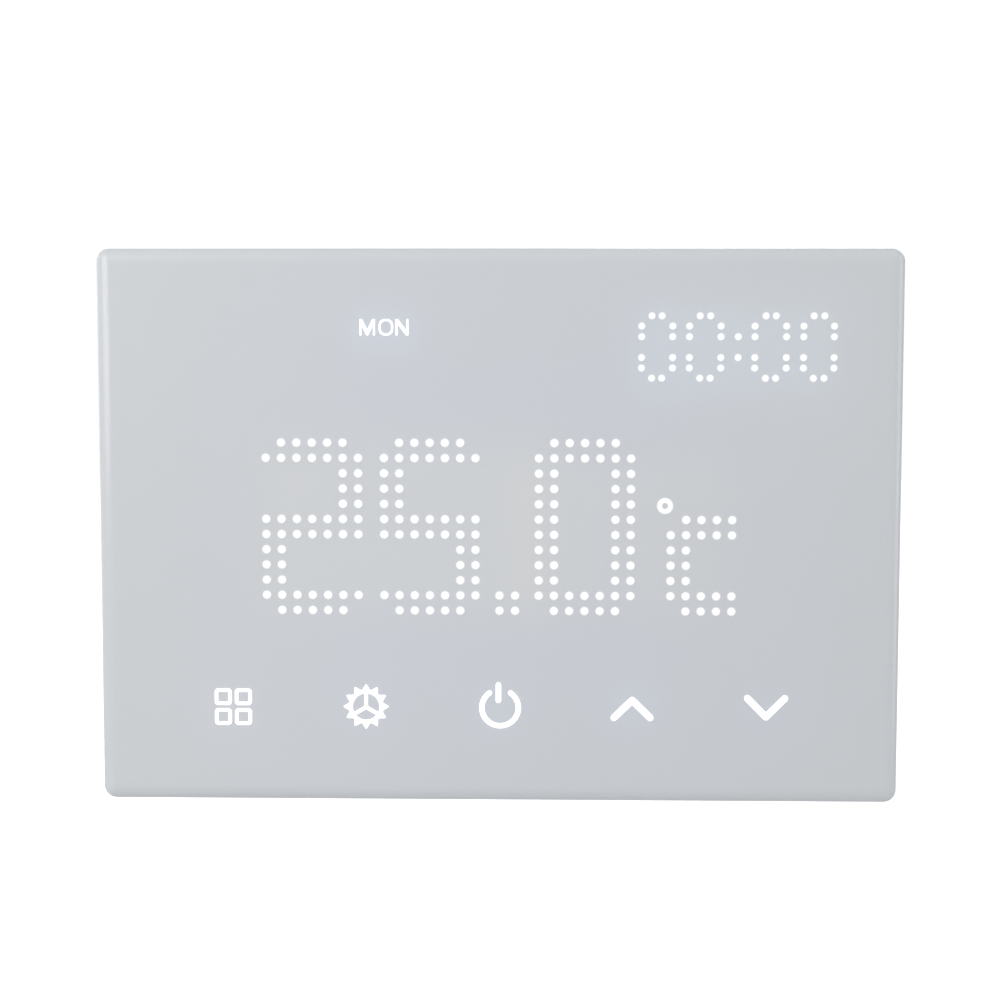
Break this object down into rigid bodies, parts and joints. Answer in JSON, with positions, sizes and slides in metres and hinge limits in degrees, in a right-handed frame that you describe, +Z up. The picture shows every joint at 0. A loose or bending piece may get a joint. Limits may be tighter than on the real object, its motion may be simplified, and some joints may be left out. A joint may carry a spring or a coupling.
{
  "type": "wall thermostat",
  "caption": "Flush rectangular room thermostat: glossy touch panel with a lit dot-matrix display on a thin housing that pulls off a wall plate with an in-wall power module.",
  "frame": {"origin": "centre of the wall plane, in the middle of the wall box opening; the wall surface is Y = 0", "axes": "+X to the right seen from the room, +Y into the wall, +Z up; the front panel faces -Y"},
  "size_m": [0.12, 0.0393, 0.083],
  "materials": {
    "panel": "smooth light grey, softly glossy",
    "adhesive": "matt black foam tape",
    "shell": "fine satin texture",
    "display_light": "white light guide, lit from behind",
    "board_dark": "black solder mask",
    "board_green": "green solder mask",
    "spring": "plated spring wire",
    "shield": "tinned sheet",
    "chip": "moulded epoxy",
    "black_plastic": "moulded black plastic",
    "cell": "plated steel can",
    "sensor": "dark epoxy bead",
    "screw": "zinc plated",
    "plate": "fine matt texture",
    "module": "fine matt texture",
    "relay_blue": "smooth blue",
    "relay_iron": "plated iron",
    "copper": "enamelled copper wire",
    "contact": "brass strip",
    "ferrite": "dark grey ferrite",
    "tape": "yellow winding tape",
    "sleeve": "shrink sleeve",
    "blue_epoxy": "dipped blue epoxy",
    "film_yellow": "yellow box",
    "fuse_brown": "brown moulding",
    "terminal": "green moulding",
    "clamp": "plated brass"
  },
  "bodies": {
    "base": {"back_plate": "plate", "power_case": "module", "power_board": "board_green", "socket_header": "black_plastic", "relay_case": "relay_blue", "relay_frame": "relay_iron", "relay_coil": "copper", "relay_contact": "contact", "transformer_core": "ferrite", "transformer_winding": "tape", "capacitor_1": "sleeve", "capacitor_2": "sleeve", "film_capacitor": "film_yellow", "varistor": "blue_epoxy", "fuse": "fuse_brown", "terminal_block": "terminal", "plate_screw_1": "screw", "plate_screw_2": "screw", "plate_screw_3": "screw", "plate_screw_4": "screw"},
    "front_unit": {"front_panel": "panel", "panel_adhesive": "adhesive", "front_housing": "shell", "digit_light_guide": "display_light", "clock_light_guide": "display_light", "display_board": "board_dark", "touch_spring_1": "spring", "touch_spring_2": "spring", "touch_spring_3": "spring", "touch_spring_4": "spring", "touch_spring_5": "spring", "wifi_module": "board_dark", "wifi_shield": "shield", "mcu_chip": "chip", "buzzer": "black_plastic", "battery_holder": "black_plastic", "coin_cell": "cell", "pin_header": "black_plastic", "temp_sensor": "sensor", "board_screw_1": "screw", "board_screw_2": "screw", "board_screw_3": "screw", "board_screw_4": "screw"},
    "relay_armature": {"relay_armature": "relay_iron"},
    "terminal_screw_1": {"terminal_screw_1": "screw"},
    "terminal_clamp_1": {"terminal_clamp_1": "clamp"},
    "terminal_screw_2": {"terminal_screw_2": "screw"},
    "terminal_clamp_2": {"terminal_clamp_2": "clamp"},
    "terminal_screw_3": {"terminal_screw_3": "screw"},
    "terminal_clamp_3": {"terminal_clamp_3": "clamp"},
    "terminal_screw_4": {"terminal_screw_4": "screw"},
    "terminal_clamp_4": {"terminal_clamp_4": "clamp"},
    "terminal_screw_5": {"terminal_screw_5": "screw"},
    "terminal_clamp_5": {"terminal_clamp_5": "clamp"},
    "terminal_screw_6": {"terminal_screw_6": "screw"},
    "terminal_clamp_6": {"terminal_clamp_6": "clamp"}
  },
  "joints": [
    {"name": "front_pull", "type": "slide", "parent": "base", "child": "front_unit", "axis": [0, -1, 0], "range_m": [0, 0.04]},
    {"name": "armature_hinge", "type": "hinge", "parent": "base", "child": "relay_armature", "pos_m": [-0.0278, 0.0156, 0.0105], "axis": [0, 0, -1], "range_deg": [0, 3.8], "stiffness_Nm_per_rad": 0.01},
    {"name": "screw_turn_1", "type": "hinge", "parent": "base", "child": "terminal_screw_1", "pos_m": [-0.01905, 0.0127, -0.019], "axis": [0, -1, 0], "range_deg": [0, 1801]},
    {"name": "clamp_rise_1", "type": "slide", "parent": "base", "child": "terminal_clamp_1", "axis": [0, 1, 0], "range_m": [0, 0.0025]},
    {"name": "screw_turn_2", "type": "hinge", "parent": "base", "child": "terminal_screw_2", "pos_m": [-0.01143, 0.0127, -0.019], "axis": [0, -1, 0], "range_deg": [0, 1801]},
    {"name": "clamp_rise_2", "type": "slide", "parent": "base", "child": "terminal_clamp_2", "axis": [0, 1, 0], "range_m": [0, 0.0025]},
    {"name": "screw_turn_3", "type": "hinge", "parent": "base", "child": "terminal_screw_3", "pos_m": [-0.00381, 0.0127, -0.019], "axis": [0, -1, 0], "range_deg": [0, 1801]},
    {"name": "clamp_rise_3", "type": "slide", "parent": "base", "child": "terminal_clamp_3", "axis": [0, 1, 0], "range_m": [0, 0.0025]},
    {"name": "screw_turn_4", "type": "hinge", "parent": "base", "child": "terminal_screw_4", "pos_m": [0.00381, 0.0127, -0.019], "axis": [0, -1, 0], "range_deg": [0, 1801]},
    {"name": "clamp_rise_4", "type": "slide", "parent": "base", "child": "terminal_clamp_4", "axis": [0, 1, 0], "range_m": [0, 0.0025]},
    {"name": "screw_turn_5", "type": "hinge", "parent": "base", "child": "terminal_screw_5", "pos_m": [0.01143, 0.0127, -0.019], "axis": [0, -1, 0], "range_deg": [0, 1801]},
    {"name": "clamp_rise_5", "type": "slide", "parent": "base", "child": "terminal_clamp_5", "axis": [0, 1, 0], "range_m": [0, 0.0025]},
    {"name": "screw_turn_6", "type": "hinge", "parent": "base", "child": "terminal_screw_6", "pos_m": [0.01905, 0.0127, -0.019], "axis": [0, -1, 0], "range_deg": [0, 1801]},
    {"name": "clamp_rise_6", "type": "slide", "parent": "base", "child": "terminal_clamp_6", "axis": [0, 1, 0], "range_m": [0, 0.0025]}
  ],
  "couplings": [
    {"joint": "screw_turn_1", "follows": "clamp_rise_1", "rad_per_m": 12566},
    {"joint": "screw_turn_2", "follows": "clamp_rise_2", "rad_per_m": 12566},
    {"joint": "screw_turn_3", "follows": "clamp_rise_3", "rad_per_m": 12566},
    {"joint": "screw_turn_4", "follows": "clamp_rise_4", "rad_per_m": 12566},
    {"joint": "screw_turn_5", "follows": "clamp_rise_5", "rad_per_m": 12566},
    {"joint": "screw_turn_6", "follows": "clamp_rise_6", "rad_per_m": 12566}
  ]
}
